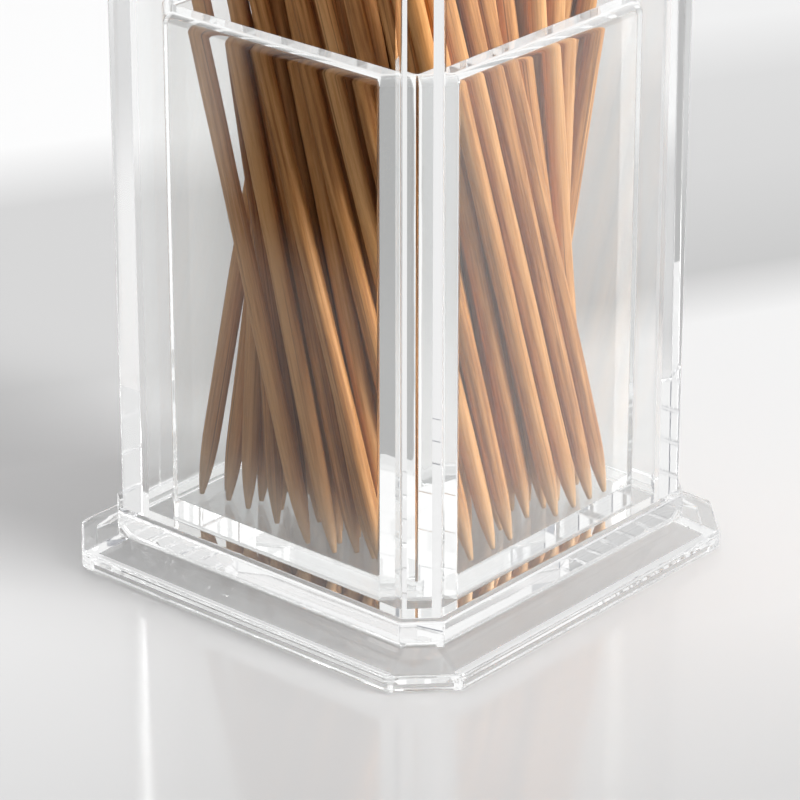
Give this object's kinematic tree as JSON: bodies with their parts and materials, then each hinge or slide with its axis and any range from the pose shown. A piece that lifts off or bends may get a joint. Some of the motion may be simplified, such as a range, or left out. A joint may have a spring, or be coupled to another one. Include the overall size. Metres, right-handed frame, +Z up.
{
  "type": "toothpick box",
  "caption": "Clear square toothpick box: a stepped plinth, an inner cup of bamboo toothpicks and a tall hood with a cut knob that lifts off.",
  "frame": {"origin": "middle of the plinth's underside", "axes": "+Z up, X and Y square to the flat faces of the hood"},
  "size_m": [0.048, 0.048, 0.094],
  "materials": {
    "clear_acrylic": "gloss",
    "bamboo": "matte"
  },
  "bodies": {
    "base": {"plinth": "clear_acrylic", "inner_cup": "clear_acrylic", "toothpick_01": "bamboo", "toothpick_02": "bamboo", "toothpick_03": "bamboo", "toothpick_04": "bamboo", "toothpick_05": "bamboo", "toothpick_06": "bamboo", "toothpick_07": "bamboo", "toothpick_08": "bamboo", "toothpick_09": "bamboo", "toothpick_10": "bamboo", "toothpick_11": "bamboo", "toothpick_12": "bamboo", "toothpick_13": "bamboo", "toothpick_14": "bamboo", "toothpick_15": "bamboo", "toothpick_16": "bamboo", "toothpick_17": "bamboo", "toothpick_18": "bamboo", "toothpick_19": "bamboo", "toothpick_20": "bamboo", "toothpick_21": "bamboo", "toothpick_22": "bamboo", "toothpick_23": "bamboo", "toothpick_24": "bamboo", "toothpick_25": "bamboo", "toothpick_26": "bamboo", "toothpick_27": "bamboo", "toothpick_28": "bamboo", "toothpick_29": "bamboo", "toothpick_30": "bamboo", "toothpick_31": "bamboo", "toothpick_32": "bamboo", "toothpick_33": "bamboo", "toothpick_34": "bamboo", "toothpick_35": "bamboo", "toothpick_36": "bamboo", "toothpick_37": "bamboo", "toothpick_38": "bamboo", "toothpick_39": "bamboo", "toothpick_40": "bamboo", "toothpick_41": "bamboo", "toothpick_42": "bamboo", "toothpick_43": "bamboo", "toothpick_44": "bamboo", "toothpicks_inner_01": "bamboo", "toothpicks_inner_02": "bamboo", "toothpicks_inner_03": "bamboo", "toothpicks_inner_04": "bamboo", "toothpicks_inner_05": "bamboo", "toothpicks_inner_06": "bamboo", "toothpicks_inner_07": "bamboo", "toothpicks_inner_08": "bamboo", "toothpicks_inner_09": "bamboo", "toothpicks_inner_10": "bamboo"},
    "hood": {"hood": "clear_acrylic", "hood_knob": "clear_acrylic"}
  },
  "joints": [
    {"name": "hood_lift", "type": "slide", "parent": "base", "child": "hood", "axis": [0, 0, 1], "range_m": [0, 0.07]}
  ]
}
